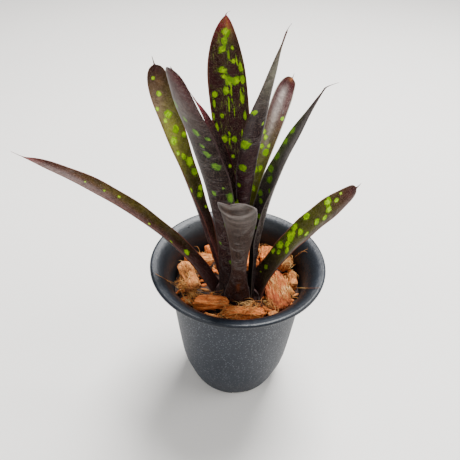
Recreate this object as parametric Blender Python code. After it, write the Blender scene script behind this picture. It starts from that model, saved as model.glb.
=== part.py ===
"""Potted bromeliad: a tapered nursery pot with a wide curved rim, growing medium, a layer of
loose coconut-husk chips, a short stem and a rosette of ten strap leaves.

Metres, +Z up. The origin is on the ground under the centre of the pot; +X is to the right and -Y
is the front. Every leaf follows one rule, given its own dimensions in LEAVES below.
"""

import math
import random

import bmesh
import bpy
import numpy as np
from mathutils import Matrix, Vector

MM = 0.001

# Pot
RIM_RADIUS = 52.5
BODY_RADIUS = 41.4
POT_HEIGHT = 95.0
WALL_THICKNESS = 1.3
FOOT_HEIGHT = 2.4
FLOOR_THICKNESS = 1.8
FLOOR_TOP = FOOT_HEIGHT + FLOOR_THICKNESS
POT_SEGMENTS = 40
DRAIN_HOLES = 6
DRAIN_HOLE_RADIUS = 5.2
DRAIN_CIRCLE_RADIUS = 0.35 * BODY_RADIUS
FOOT_SLOTS = 6
FOOT_SLOT_WIDTH = 10.0
FOOT_SLOT_HEIGHT = 0.75 * FOOT_HEIGHT

# Outside of the wall, from the foot to under the rim: shares of POT_HEIGHT and of BODY_RADIUS
WALL = [(0.042, 0.72), (0.105, 0.768), (0.21, 0.843), (0.368, 0.886), (0.579, 0.935), (0.779, 0.978), (0.863, 1.0)]

# Leaves
LEAF_THICKNESS = 1.0
EDGE_THICKNESS = 0.5
SPINE_LENGTH = 2.6
SPINE_WIDTH = 0.7
SECTIONS = 17
ACROSS = 7
OPENING_OUT = 0.35

# Medium and stem, built down from the rim and up from the medium
HEADSPACE = 21.5
CLEARANCE = 0.4
PLANT_CENTRE = (0.0, -6.0)
MEDIUM_TOP = POT_HEIGHT - HEADSPACE
STEM_TOP = MEDIUM_TOP + 1.5
LEAF_BASE = STEM_TOP + 1.0

# One row per leaf, in mm and degrees:
#   direction it grows in and how far that swings round along it, leaves inside its sheath and the
#   room between them, lean from upright at the base and at the tip, how late the lean comes, length, greatest width,
#   width of the sheath and of the neck above it and where along the leaf the greatest width lies,
#   bluntness of the tip, half angle of the channel at mid length and at the tip,
#   turn about the midrib at the base and at the tip
LEAVES = {
    "leaf_inner_young": (144, 6, 0, 2.3, 0, 43, 2.2, 122, 10.8, 1.05, 0.68, 0.54, 0.95, 63, 50, -5, 1),
    "leaf_centre_back": (104, 4, 1, 2.9, 1, 26.5, 1.0, 155, 25.0, 0.80, 0.45, 0.81, 0.74, 24, 64, -6, -46),
    "leaf_front_right": (-74, 13, 2, 3.4, 0, 24.5, 1.35, 168, 14.9, 0.72, 0.45, 0.60, 1.7, 93, 12, 7, 20),
    "leaf_back_right": (67, 3, 3, 3.8, 0, 67, 1.25, 133, 12.2, 0.70, 0.45, 0.85, 0.30, 95, 15, -30, 41),
    "leaf_back_left": (163, -37, 4, 4.2, 16, 27, 1.6, 137, 13.6, 0.70, 1.05, 0.85, 0.40, 78, 12, 30, -15),
    "leaf_front_left": (239, 21, 5, 4.6, 1, 35.5, 0.85, 171, 21.0, 0.70, 0.85, 0.54, 0.36, 71, 12, 8, -33),
    "leaf_right": (-12, 15, 5, 4.6, 0, 27.5, 1.5, 135, 20.4, 0.70, 0.60, 0.42, 1.15, 68, 12, 24, 9),
    "leaf_front": (-88, -11, 6, 5.0, 19, 52, 1.95, 140, 19.5, 0.70, 0.63, 0.62, 0.30, 95, 39, -2, 3.5),
    "leaf_right_low": (-7, 4, 7, 5.7, 4.5, 42, 0.5, 94, 17.0, 1.06, 0.85, 0.69, 0.39, 38, 12, 35, 9),
    "leaf_left_low": (180, -9, 7, 5.4, 26.5, 74.5, 0.95, 136, 13.0, 0.85, 0.91, 0.56, 0.73, 82, 49, -20, -3),
}


def clear_scene():
    for obj in list(bpy.data.objects):
        bpy.data.objects.remove(obj, do_unlink=True)


def material(name, colour, roughness, metallic=0.0):
    made = bpy.data.materials.new(name)
    made.use_nodes = True
    shader = made.node_tree.nodes["Principled BSDF"]
    shader.inputs["Base Color"].default_value = (*colour, 1.0)
    shader.inputs["Roughness"].default_value = roughness
    shader.inputs["Metallic"].default_value = metallic
    made.diffuse_color = (*colour, 1.0)
    return made


def add_object(name, bm, made, smooth=True):
    bmesh.ops.recalc_face_normals(bm, faces=bm.faces)
    mesh = bpy.data.meshes.new(name)
    bm.to_mesh(mesh)
    bm.free()
    mesh.materials.append(made)
    if smooth:
        mesh.shade_smooth()
        mesh.set_sharp_from_angle(angle=math.radians(40))
    obj = bpy.data.objects.new(name, mesh)
    bpy.context.collection.objects.link(obj)
    return obj


def lathe(profile, segments):
    """A closed solid turned about Z from a profile in mm that starts and ends on the axis."""
    bm = bmesh.new()
    verts = [bm.verts.new((r * MM, 0.0, z * MM)) for r, z in profile]
    edges = [bm.edges.new(pair) for pair in zip(verts, verts[1:])]
    bmesh.ops.spin(
        bm,
        geom=verts + edges,
        cent=(0, 0, 0),
        axis=(0, 0, 1),
        angle=2 * math.pi,
        steps=segments,
        use_merge=True,
    )
    bmesh.ops.remove_doubles(bm, verts=bm.verts, dist=1e-6)
    return bm


def cutter(name, bm):
    bmesh.ops.recalc_face_normals(bm, faces=bm.faces)
    mesh = bpy.data.meshes.new(name)
    bm.to_mesh(mesh)
    bm.free()
    obj = bpy.data.objects.new(name, mesh)
    bpy.context.collection.objects.link(obj)
    obj.hide_render = True
    obj.display_type = "WIRE"
    return obj


def cut(target, tool):
    boolean = target.modifiers.new(tool.name, "BOOLEAN")
    boolean.operation = "DIFFERENCE"
    boolean.solver = "EXACT"
    boolean.object = tool


# ---------------------------------------------------------------- pot

def wall_inner_radius(z):
    """Inside radius of the pot wall at a height, in mm."""
    radii, heights = zip(*inside_wall())
    return float(np.interp(z, heights, radii))


def flare(share):
    """Radius a share of the way from the wall out to the edge of the rim, in mm."""
    return BODY_RADIUS + share * (RIM_RADIUS - BODY_RADIUS)


def inside_wall():
    """Inside of the pot from the edge of its floor up to the rim, in mm."""
    foot = WALL[0][1] * BODY_RADIUS
    corner = [(foot - WALL_THICKNESS - 1.3, FLOOR_TOP), (foot - WALL_THICKNESS - 0.1, FLOOR_TOP + 1.2)]
    wall = [(radius * BODY_RADIUS - WALL_THICKNESS, height * POT_HEIGHT) for height, radius in WALL[1:]]
    return corner + wall + [(flare(-0.04), POT_HEIGHT - 9.5), (flare(0.11), POT_HEIGHT - 5.6)]


def build_pot():
    top = POT_HEIGHT
    foot = WALL[0][1] * BODY_RADIUS
    ground_pad = [(0, 0), (7.5, 0), (8.2, FOOT_HEIGHT)]
    foot_ring = [(foot - 7.8, FOOT_HEIGHT), (foot - 7.3, 0.0), (foot - 1.9, 0.0), (foot - 1.4, 0.5)]
    outside = [(radius * BODY_RADIUS, height * top) for height, radius in WALL]
    under_rim = [(flare(0.13), top - 7.0), (flare(0.36), top - 3.9), (flare(0.65), top - 2.1)]
    under_rim += [(flare(0.81), top - 1.7), (flare(0.88), top - 2.2), (flare(0.955), top - 2.2)]
    lip = [(RIM_RADIUS, top - 1.6), (RIM_RADIUS, top - 0.7), (flare(0.946), top - 0.1), (flare(0.856), top)]
    inside = [(flare(0.6), top - 0.6), (flare(0.34), top - 2.5)] + inside_wall()[::-1] + [(0, FLOOR_TOP)]
    profile = ground_pad + foot_ring + outside + under_rim + lip + inside
    made = material("Dark grey moulded plastic", (0.085, 0.095, 0.112), 0.5)
    pot = add_object("pot", lathe(profile, POT_SEGMENTS), made)

    holes = bmesh.new()
    slots = bmesh.new()
    for i in range(DRAIN_HOLES):
        angle = math.radians(30 + 360 / DRAIN_HOLES * i)
        place = Matrix.Rotation(angle, 4, "Z") @ Matrix.Translation((DRAIN_CIRCLE_RADIUS * MM, 0, 3 * MM))
        bmesh.ops.create_cone(
            holes,
            cap_ends=True,
            segments=14,
            radius1=DRAIN_HOLE_RADIUS * MM,
            radius2=DRAIN_HOLE_RADIUS * MM,
            depth=12 * MM,
            matrix=place,
        )
    for i in range(FOOT_SLOTS):
        angle = math.radians(-80 + 360 / FOOT_SLOTS * i)
        place = Matrix.Rotation(angle, 4, "Z") @ Matrix.Translation(((foot - 3.0) * MM, 0, 0))
        size = Matrix.Diagonal((12 * MM, FOOT_SLOT_WIDTH * MM, 2 * FOOT_SLOT_HEIGHT * MM, 1))
        bmesh.ops.create_cube(slots, size=1.0, matrix=place @ size)
    cut(pot, cutter("cut_drain_holes", holes))
    cut(pot, cutter("cut_foot_slots", slots))


# ---------------------------------------------------------------- medium and stem

def build_medium():
    rng = random.Random(4)
    wall = wall_inner_radius(MEDIUM_TOP)
    bottom = FLOOR_TOP + CLEARANCE
    heights = [bottom + 1.6] + [share * POT_HEIGHT for share, _ in WALL if bottom + 2 < share * POT_HEIGHT < MEDIUM_TOP - 3]
    profile = [(0, bottom), (wall_inner_radius(bottom) - 2.5 * CLEARANCE, bottom)]
    profile += [(wall_inner_radius(z) - CLEARANCE, z) for z in heights + [MEDIUM_TOP - 1.2]]
    profile += [(0.97 * wall, MEDIUM_TOP), (0.86 * wall, MEDIUM_TOP + 0.3), (0.74 * wall, MEDIUM_TOP - 0.4)]
    profile += [(0.61 * wall, MEDIUM_TOP), (0.3 * wall, MEDIUM_TOP - 0.3), (0, MEDIUM_TOP)]
    bm = lathe(profile, 32)
    for vert in bm.verts:
        radius = math.hypot(vert.co.x, vert.co.y) / MM
        if vert.co.z > (MEDIUM_TOP - 0.6) * MM and radius < 0.95 * wall:
            vert.co.z += rng.uniform(-0.5, 0.1) * MM
    made = material("Dark bark medium", (0.035, 0.020, 0.012), 0.95)
    medium = add_object("growing_medium", bm, made, smooth=False)

    c = CLEARANCE
    seat = [(0, stem_profile()[0][1] - c)] + [(r + c, z - c) for r, z in stem_profile()[:-1]]
    seat += [(stem_profile()[-1][0] + c, MEDIUM_TOP + 6), (0, MEDIUM_TOP + 6)]
    tool = cutter("cut_stem_seat", lathe(seat, 24))
    tool.location = (PLANT_CENTRE[0] * MM, PLANT_CENTRE[1] * MM, 0)
    cut(medium, tool)


def stem_profile():
    """Half outline of the stem in mm: it carries the outermost sheath with 0.5 mm to spare."""
    radius = max(Leaf(row).sheath_radius for row in LEAVES.values()) + LEAF_THICKNESS / 2 + 0.5
    shares = ((0.38, -12.9), (0.52, -9.6), (0.66, -3.7), (0.96, -0.3), (1.0, STEM_TOP - MEDIUM_TOP))
    return [(share * radius, MEDIUM_TOP + height) for share, height in shares]


def build_stem():
    profile = [(0, stem_profile()[0][1])] + stem_profile() + [(0, STEM_TOP)]
    made = material("Pale stem tissue", (0.32, 0.30, 0.16), 0.7)
    stem = add_object("stem", lathe(profile, 24), made)
    stem.location = (PLANT_CENTRE[0] * MM, PLANT_CENTRE[1] * MM, 0)


# ---------------------------------------------------------------- leaves

def ease(x):
    x = np.clip(x, 0, 1)
    return x * x * (3 - 2 * x)


class Leaf:
    """Midrib, width and channel of one leaf, from its row in LEAVES."""

    def __init__(self, row):
        (self.direction, self.swing, inside, room, self.lean, self.tip_lean, self.lateness,
         self.length, self.width, self.sheath, self.neck, self.widest, self.bluntness,
         self.channel, self.tip_channel, self.turn, self.tip_turn) = row
        self.sheath_radius = room + (inside + 0.5) * LEAF_THICKNESS

    def widths(self, s):
        rise = np.where(
            s < 0.22,
            self.sheath + (self.neck - self.sheath) * ease(s / 0.22),
            self.neck + (1 - self.neck) * ease((s - 0.22) / (self.widest - 0.22)),
        )
        fall = (1 - np.clip((s - self.widest) / (1 - self.widest), 0, 1) ** 2.2) ** self.bluntness
        return np.maximum(self.width * np.where(s < self.widest, rise, fall), SPINE_WIDTH)

    def half_angles(self, s):
        base = math.radians(min(math.degrees(self.width * self.sheath / (2 * self.sheath_radius)), 150))
        middle, tip = math.radians(self.channel), math.radians(self.tip_channel)
        opening = base + (middle - base) * ease(s / OPENING_OUT)
        flattening = middle + (tip - middle) * ease((s - OPENING_OUT) / (1 - OPENING_OUT))
        return np.where(s < OPENING_OUT, opening, flattening)

    def midrib(self, s):
        lean = np.radians(self.lean + (self.tip_lean - self.lean) * s**self.lateness)
        way = np.radians(self.direction + self.swing * s**1.5)
        along = np.stack([np.sin(lean) * np.cos(way), np.sin(lean) * np.sin(way), np.cos(lean)], -1)
        steps = (along[1:] + along[:-1]) / 2 * np.diff(s)[:, None] * self.length
        points = np.concatenate([np.zeros((1, 3)), np.cumsum(steps, axis=0)])
        start = math.radians(self.direction)
        points += (
            PLANT_CENTRE[0] + self.sheath_radius * math.cos(start),
            PLANT_CENTRE[1] + self.sheath_radius * math.sin(start),
            LEAF_BASE,
        )
        across = np.stack([-np.sin(way), np.cos(way), 0 * way], -1)
        inward = np.cross(along, across)
        turn = np.radians(self.turn + (self.tip_turn - self.turn) * s)[:, None]
        return (
            points,
            along,
            across * np.cos(turn) + inward * np.sin(turn),
            inward * np.cos(turn) - across * np.sin(turn),
        )

    def rows(self, sections, count):
        """Cross-sections from base to tip: each is (inner face points, outer face points), mm."""
        fine = np.linspace(0, 1, 161)
        points, along, across, inward = self.midrib(fine)
        places = 1 - (1 - np.linspace(0, 1, sections)) ** 1.15
        found = []
        for s in places:
            i = int(round(s * 160))
            s = fine[i]
            width = float(self.widths(s))
            half = float(self.half_angles(s))
            radius = width / (2 * half)
            depth = (LEAF_THICKNESS * (1 - 0.45 * s)) if s < 1 else SPINE_WIDTH * 0.8
            found.append((points[i], across[i], inward[i], radius, half, depth))
        end = list(found[-1])
        end[0] = end[0] + along[-1] * SPINE_LENGTH
        end[3], end[5] = 0.25 / (2 * end[4]), 0.25
        found.append(tuple(end))
        rows = []
        for centre, side, inner, radius, half, depth in found:
            angles = np.linspace(-half, half, count)
            edge = min(EDGE_THICKNESS, depth)
            depths = edge + (depth - edge) * (1 - np.abs(np.linspace(-1, 1, count)) ** 3)
            faces = []
            for sign in (1, -1):
                r = radius - sign * depths / 2
                x = r * np.sin(angles)
                z = radius - r * np.cos(angles)
                faces.append(centre + x[:, None] * side + z[:, None] * inner)
            rows.append(faces)
        return rows


def build_leaf(name, row, made):
    rows = Leaf(row).rows(SECTIONS, ACROSS)
    bm = bmesh.new()
    loops = []
    for inner, outer in rows:
        ring = list(inner) + list(outer[::-1])
        loops.append([bm.verts.new(Vector(p) * MM) for p in ring])
    for below, above in zip(loops, loops[1:]):
        count = len(below)
        for j in range(count):
            k = (j + 1) % count
            bm.faces.new((below[j], below[k], above[k], above[j]))
    for ring in (loops[0], loops[-1]):
        half = len(ring) // 2
        for j in range(half - 1):
            bm.faces.new((ring[j], ring[j + 1], ring[-2 - j], ring[-1 - j]))
    add_object(name, bm, made)


# ---------------------------------------------------------------- husk chips

# Centre x and y, height of the middle above the medium, length, width, thickness, heading, and
# tips about the chip's own length and width; mm and degrees. The places and sizes are those for a
# ring from CHIPS_INNER, round the plant, to CHIPS_OUTER, the wall.
CHIPS_INNER = 13.7
CHIPS_OUTER = 39.9
CHIPS = [
    (-30.0, 0.5, 5.7, 25, 9.0, 7.0, -66, 14, 0),
    (-21.0, 16.5, 5.1, 9, 7.5, 7.0, 20, 0, 8),
    (-14.5, -22.0, 6.5, 20, 7.2, 7.0, 6, -8, 0),
    (4.5, -28.6, 5.7, 24, 6.6, 7.0, 3, -6, 0),
    (24.0, -9.0, 6.1, 29, 13.6, 7.5, -78, 6, 4),
    (18.8, 24.2, 5.3, 16, 8.8, 7.0, 84, 0, 5),
    (29.9, 15.2, 6.3, 10, 7.2, 7.0, 40, 0, -6),
    (34.6, 1.5, 4.9, 12, 4.6, 7.0, -82, 0, 0),
    (-8.0, 16.5, 4.5, 13, 8.0, 6.5, -18, 5, 0),
    (7.0, 16.0, 4.5, 12, 8.0, 6.5, 32, -5, 0),
    (-1.5, 28.0, 5.1, 15, 8.5, 7.0, 6, 0, 5),
    (-16.5, 28.0, 4.9, 11, 7.5, 6.5, 38, 4, 0),
    (11.0, 33.4, 4.5, 6, 5.0, 6.5, -15, 0, 0),
    (-31.0, 18.2, 4.5, 7, 5.5, 6.0, 60, 0, 0),
    (-29.0, -19.4, 3.5, 6, 5.5, 5.0, 30, 0, 0),
    (22.0, -27.8, 3.9, 6, 5.5, 5.5, 35, 0, 0),
    (19.0, 10.4, 3.9, 7, 5.5, 5.5, -30, 0, 0),
    (-20.5, 6.5, 3.3, 7, 6.0, 5.0, 15, 0, 0),
    (-14.0, -32.0, 3.9, 9, 4.6, 5.5, -22, 0, 0),
]


def chip_fit(x, y):
    """A chip's place and scale in the ring between the outermost sheath and the wall, in mm."""
    centre = Vector(PLANT_CENTRE)
    place = Vector((x, y)) - centre
    way = place.normalized()
    reach = [-way.dot(centre) + math.sqrt(way.dot(centre) ** 2 + r * r - centre.dot(centre)) for r in (CHIPS_OUTER, chips_outer())]
    share = (place.length - CHIPS_INNER) / (reach[0] - CHIPS_INNER)
    distance = chips_inner() + share * (reach[1] - chips_inner())
    across = (chips_outer() - chips_inner()) / (CHIPS_OUTER - CHIPS_INNER)
    return centre + way * distance, min(across, distance / place.length)


def chips_inner():
    return stem_profile()[-1][0] - 0.5


def chips_outer():
    return wall_inner_radius(MEDIUM_TOP + 6.0)


def build_chip(number, row, made):
    x, y, height, length, width, thickness, heading, roll, pitch = row
    (x, y), room = chip_fit(x, y)
    rng = random.Random(100 + number)
    bm = bmesh.new()
    bmesh.ops.create_cube(bm, size=1.0)
    bmesh.ops.subdivide_edges(bm, edges=bm.edges, cuts=1, use_grid_fill=True)
    for vert in bm.verts:
        corner = sum(abs(c) > 0.25 for c in vert.co)
        vert.co *= {3: 0.86, 2: 0.95, 1: 1.0, 0: 1.0}[corner]
        vert.co = Vector([c + rng.uniform(-0.05, 0.05) for c in vert.co])
        vert.co = Vector([max(-0.5, min(0.5, c)) for c in vert.co])
        vert.co = Vector((vert.co.x * length * room, vert.co.y * width * room, vert.co.z * thickness)) * MM
    chip = add_object(f"chip_{number:02d}", bm, made, smooth=False)
    chip.location = (x * MM, y * MM, (MEDIUM_TOP + height) * MM)
    chip.rotation_euler = (math.radians(roll), math.radians(pitch), math.radians(heading))


def main():
    clear_scene()
    build_pot()
    build_medium()
    build_stem()
    upper = material("Spotted leaf", (0.075, 0.035, 0.040), 0.42)
    for name, row in LEAVES.items():
        build_leaf(name, row, upper)
    husk = material("Coconut husk", (0.45, 0.17, 0.06), 0.9)
    for number, row in enumerate(CHIPS, 1):
        build_chip(number, row, husk)


main()
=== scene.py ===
"""A small spotted bromeliad in a nursery pot, on dark medium topped with coconut husk chips."""
import math
import random

import bpy
import numpy as np
from mathutils import Euler, Matrix, Vector, noise


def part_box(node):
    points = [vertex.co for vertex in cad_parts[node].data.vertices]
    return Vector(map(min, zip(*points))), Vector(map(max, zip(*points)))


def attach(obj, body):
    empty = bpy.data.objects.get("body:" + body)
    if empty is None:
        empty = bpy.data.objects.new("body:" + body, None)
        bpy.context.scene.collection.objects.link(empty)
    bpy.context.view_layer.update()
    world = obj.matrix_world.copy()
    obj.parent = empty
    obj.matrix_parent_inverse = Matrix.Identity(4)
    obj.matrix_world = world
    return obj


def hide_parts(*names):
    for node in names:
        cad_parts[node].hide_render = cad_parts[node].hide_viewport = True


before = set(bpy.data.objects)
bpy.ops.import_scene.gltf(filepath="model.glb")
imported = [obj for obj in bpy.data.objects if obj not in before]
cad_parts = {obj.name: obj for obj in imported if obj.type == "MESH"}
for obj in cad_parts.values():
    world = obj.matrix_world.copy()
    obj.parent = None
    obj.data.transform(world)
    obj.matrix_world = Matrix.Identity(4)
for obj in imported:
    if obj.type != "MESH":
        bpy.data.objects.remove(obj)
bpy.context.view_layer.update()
bpy.ops.object.select_all(action="DESELECT")

MM = 0.001
# From here on, sizes and places are in millimetres until MM turns them into metres.
RIM_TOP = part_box("pot")[1][2] / MM
MEDIUM_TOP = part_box("growing_medium")[1][2] / MM
# Where the leaves start: a millimetre above the top of the stem.
LEAF_BASE = 76.0
PLANT_CENTRE = (0.0, -6.0)
DRAIN_HOLE_RADIUS, DRAIN_CIRCLE = 5.2, 14.5
SLOT_SIZE, SLOT_CIRCLE = (12, 10, 3.6), 26.8


def srgb(r, g, b):
    """A colour named by its everyday 0 to 255 values, as the shader's linear one."""
    return tuple(
        ((c / 255 + 0.055) / 1.055) ** 2.4 if c > 10 else c / 255 / 12.92 for c in (r, g, b)
    )


def smooth_step(x):
    x = np.clip(x, 0, 1)
    return x * x * (3 - 2 * x)


# ---------------------------------------------------------------- shader maths

class Wire:
    """A number, colour or vector on its way through a material's nodes."""

    def __init__(self, finish, socket):
        self.finish, self.socket = finish, socket

    def maths(self, operation, *others):
        return self.finish.node("ShaderNodeMath", {"operation": operation}, [self, *others])

    def __add__(self, other):
        return self.maths("ADD", other)

    def __sub__(self, other):
        return self.maths("SUBTRACT", other)

    def __mul__(self, other):
        return self.maths("MULTIPLY", other)

    def __rsub__(self, other):
        return self.finish.node("ShaderNodeMath", {"operation": "SUBTRACT"}, [other, self])

    __radd__ = __add__
    __rmul__ = __mul__

    def step(self, low, high):
        """0 below low, 1 above high, eased between them."""
        inputs = {"Value": self, "From Min": low, "From Max": high}
        return self.finish.node("ShaderNodeMapRange", {"interpolation_type": "SMOOTHSTEP"}, inputs)


class Finish:
    """One material and the nodes that make it."""

    def __init__(self, name):
        self.material = bpy.data.materials.new(name)
        self.material.use_nodes = True
        self.tree = self.material.node_tree
        self.shader = self.tree.nodes["Principled BSDF"]

    def plug(self, socket, value):
        if isinstance(value, Wire):
            self.tree.links.new(value.socket, socket)
        elif socket.type == "RGBA" and len(value) == 3:
            socket.default_value = (*value, 1.0)
        else:
            socket.default_value = value

    def node(self, kind, settings=None, inputs=(), out=0):
        made = self.tree.nodes.new(kind)
        for name, value in (settings or {}).items():
            if name == "stops":
                ramp = made.color_ramp
                while len(ramp.elements) < len(value):
                    ramp.elements.new(1.0)
                for element, (place, colour) in zip(ramp.elements, value):
                    element.position, element.color = place, (*colour, 1.0)
            else:
                setattr(made, name, value)
        named = inputs.items() if isinstance(inputs, dict) else enumerate(inputs)
        for name, value in named:
            self.plug(made.inputs[name], value)
        return Wire(self, made.outputs[out])

    def mix(self, share, first, second, blend="MIX"):
        made = self.tree.nodes.new("ShaderNodeMix")
        made.data_type, made.blend_type = "RGBA", blend
        for place, value in ((0, share), (6, first), (7, second)):
            self.plug(made.inputs[place], value)
        return Wire(self, made.outputs[2])

    def place(self):
        """The point's own place on the object, in metres."""
        return self.node("ShaderNodeTexCoord", out=3)

    def stretched(self, vector, scale):
        return self.node("ShaderNodeMapping", {}, {"Vector": vector, "Scale": scale})

    def noise(self, vector, scale, detail=3.0, roughness=0.55, distortion=0.0):
        inputs = {"Vector": vector, "Scale": scale, "Detail": detail}
        inputs |= {"Roughness": roughness, "Distortion": distortion}
        return self.node("ShaderNodeTexNoise", {}, inputs)

    def cells(self, vector, scale):
        return self.node("ShaderNodeTexVoronoi", {}, {"Vector": vector, "Scale": scale})

    def ramp(self, value, *stops):
        return self.node("ShaderNodeValToRGB", {"stops": stops}, [value])

    def attribute(self, name, out=0):
        return self.node("ShaderNodeAttribute", {"attribute_name": name}, out=out)

    def bump(self, height, distance, strength=1.0, under=None):
        inputs = {"Height": height, "Distance": distance * MM, "Strength": strength}
        if under:
            inputs["Normal"] = under
        return self.node("ShaderNodeBump", {}, inputs)

    def finish(self, **sockets):
        names = {"colour": "Base Color", "roughness": "Roughness"}
        names |= {"normal": "Normal", "specular": "Specular IOR Level"}
        for name, value in sockets.items():
            self.plug(self.shader.inputs[names[name]], value)
        return self.material


def pot_plastic():
    f = Finish("slate grey moulded plastic")
    place = f.place()
    split = f.node("ShaderNodeSeparateXYZ", {}, [place], out=2)
    inside = f.attribute("inside", out=2)
    rim = split.step((RIM_TOP - 6.5) * MM, (RIM_TOP - 3.5) * MM)
    # The rim's darker smooth colour goes on the rim and on the inward faces; on the inward faces it
    # is painted shade.
    rim_and_shaded_inside = rim + inside - rim * inside
    grain = f.noise(place, 900.0, 2.0, 0.6)
    patches = f.noise(place, 60.0, 3.0, 0.55)
    flecks = f.cells(place, 700.0).step(0.32, 0.16)
    dust = f.noise(place, 260.0, 4.0, 0.7).step(0.6, 0.78)
    body = f.mix(patches, srgb(28, 33, 42), srgb(39, 45, 55))
    body = f.mix(flecks * 0.5, body, srgb(116, 120, 126))
    body = f.mix(dust * 0.35, body, srgb(92, 92, 94))
    smooth = f.mix(patches, srgb(5, 12, 21), srgb(11, 21, 34))
    smooth = f.mix(flecks * 0.16, smooth, srgb(84, 94, 104))
    wet = f.noise(place, 70.0, 1.0).step(0.52, 0.6)
    droplets = f.cells(place, 170.0).step(0.13, 0.1) * wet * rim_and_shaded_inside
    smooth = f.mix(droplets * 0.4, smooth, srgb(6, 8, 12))
    mottling = f.noise(place, 420.0, 3.0, 0.7)
    rough = 0.44 + grain * 0.16 + mottling * 0.16 - rim * 0.18 - droplets * 0.14
    return f.finish(
        # Inward faces darkened further, nearly to black: painted shade inside the pot.
        colour=f.mix(inside * 0.75, f.mix(rim_and_shaded_inside, body, smooth), srgb(3, 4, 6)),
        roughness=rough,
        specular=0.4,
        normal=f.bump(droplets, 0.5, 0.9, f.bump(grain * 0.5 + mottling, 0.32, 0.6)),
    )


def bark_medium():
    f = Finish("dark damp bark medium")
    place = f.place()
    lumps = f.noise(place, 240.0, 5.0, 0.65)
    tones = (0.3, srgb(18, 12, 9)), (0.55, srgb(52, 34, 24)), (0.75, srgb(96, 62, 40))
    colour = f.ramp(lumps, *tones)
    return f.finish(colour=colour, roughness=0.92, normal=f.bump(lumps, 0.8))


def stem_tissue():
    f = Finish("dark stem tissue")
    place = f.place()
    streaks = f.noise(f.stretched(place, (1.0, 1.0, 0.12)), 900.0, 4.0)
    colour = f.ramp(streaks, (0.3, srgb(24, 10, 12)), (0.7, srgb(62, 34, 28)))
    return f.finish(colour=colour, roughness=0.7, specular=0.2, normal=f.bump(streaks, 0.3))


def husk(name, dark, middle, light):
    """Coconut husk: soft pith with coarse fibres along the grain."""
    f = Finish(name)
    grain = f.attribute("grain", out=1)
    along = f.stretched(grain, (0.09, 1.0, 1.0))
    fibres = f.noise(along, 2300.0, 3.0, 0.6)
    coarse = f.noise(along, 900.0, 3.0, 0.6, 0.4)
    pith = f.noise(grain, 420.0, 5.0, 0.7)
    colour = f.ramp(pith * 0.55 + coarse * 0.45, (0.3, dark), (0.5, middle), (0.68, light))
    colour = f.mix(fibres.step(0.58, 0.7) * 0.65, colour, srgb(224, 176, 104))
    colour = f.mix(coarse.step(0.42, 0.3) * 0.75, colour, srgb(70, 30, 16))
    lumps = f.bump(pith, 0.9, 0.8)
    relief = f.bump(fibres, 0.45, 0.9, lumps)
    return f.finish(colour=colour, roughness=0.88, specular=0.2, normal=relief)


def fibre_strand():
    f = Finish("dry coir strand")
    tone = f.noise(f.place(), 160.0, 2.0)
    tones = (0.35, srgb(122, 66, 26)), (0.52, srgb(186, 124, 58)), (0.7, srgb(228, 186, 120))
    return f.finish(colour=f.ramp(tone, *tones), roughness=0.7, specular=0.3)


def leaf_finish(name, look):
    """Satin leaf: washes of colour, lime blotches, pale flecks and a wax of fine silvery scales."""
    f = Finish(name)
    flat = f.node("ShaderNodeUVMap", {"uv_map": "UVMap"})
    ground, upper = f.attribute("ground"), f.attribute("ground", out=3)
    marks = f.attribute("marks", out=1)
    spot, scales, edge = (f.node("ShaderNodeSeparateXYZ", {}, [marks], out=i) for i in range(3))
    broad = f.noise(flat, 14.0, 3.0, 0.6)
    uneven = f.noise(flat, 34.0, 3.0, 0.65, 0.6)
    fine = f.noise(flat, 120.0, 3.0, 0.7)
    specks = f.noise(flat, 330.0, 1.0, 0.5)
    streaks = f.noise(f.stretched(flat, (1.0, 0.07, 1.0)), 190.0, 3.0, 0.6)
    bands = f.noise(f.stretched(flat, (0.2, 1.0, 1.0)), 105.0, 4.0, 0.65, 0.5)
    mottled = f.mix(1.0, ground, look["mottle"], "MULTIPLY")
    colour = f.mix(uneven.step(0.38, 0.62) * 0.5, ground, mottled)
    pale = specks.step(0.54, 0.66) * fine.step(0.4, 0.58) * look["flecks"]
    colour = f.mix(pale, colour, look["fleck"])
    # The wax lies in bands across the under side and in streaks along the upper one.
    wax = bands.step(0.42, 0.66) * (1 - upper) + streaks.step(0.44, 0.7) * upper
    wax = wax * broad.step(0.4, 0.64) * scales * 0.6
    colour = f.mix(wax, colour, look["wax"])
    ragged = spot + (uneven - 0.5) * 2.2 + (fine - 0.5) * 1.1
    colour = f.mix(ragged.step(-0.3, 0.1) * 0.4, colour, look["lime_deep"])
    lime = f.mix(uneven.step(0.4, 0.62), look["lime"], look["lime_deep"])
    colour = f.mix(ragged.step(0.0, 0.2) * look["lime_share"], colour, lime)
    scribble = f.noise(f.stretched(flat, (1.0, 0.16, 1.0)), 90.0, 1.0, 0.5, 1.2)
    line = scribble.step(0.47, 0.495) - scribble.step(0.505, 0.53)
    line = line * broad.step(0.46, 0.6) * look["scribble"]
    colour = f.mix(line, colour, srgb(160, 184, 70))
    colour = f.mix(edge.step(0.9, 0.985) * 0.75, colour, look["margin"])
    ridges = f.noise(f.stretched(flat, (1.0, 0.03, 1.0)), 210.0, 2.0)
    relief = f.bump(ridges + bands * 0.6 + fine * 0.3, 0.16, 0.5)
    rough = 0.36 + wax * 0.5 + fine * 0.12
    return f.finish(colour=colour, roughness=rough, specular=look["gloss"], normal=relief)


# ---------------------------------------------------------------- shop helpers

# The angle of smooth shading at which no edge is left sharp, in degrees.
ALL_SMOOTH = 180


def take(obj):
    bpy.ops.object.select_all(action="DESELECT")
    obj.select_set(True)
    bpy.context.view_layer.objects.active = obj


def settle(obj):
    """Puts the object's place, turn and size into its mesh."""
    take(obj)
    bpy.ops.object.transform_apply(location=True, rotation=True, scale=True)


def apply_all(obj):
    take(obj)
    for modifier in list(obj.modifiers):
        bpy.ops.object.modifier_apply(modifier=modifier.name)


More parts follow.
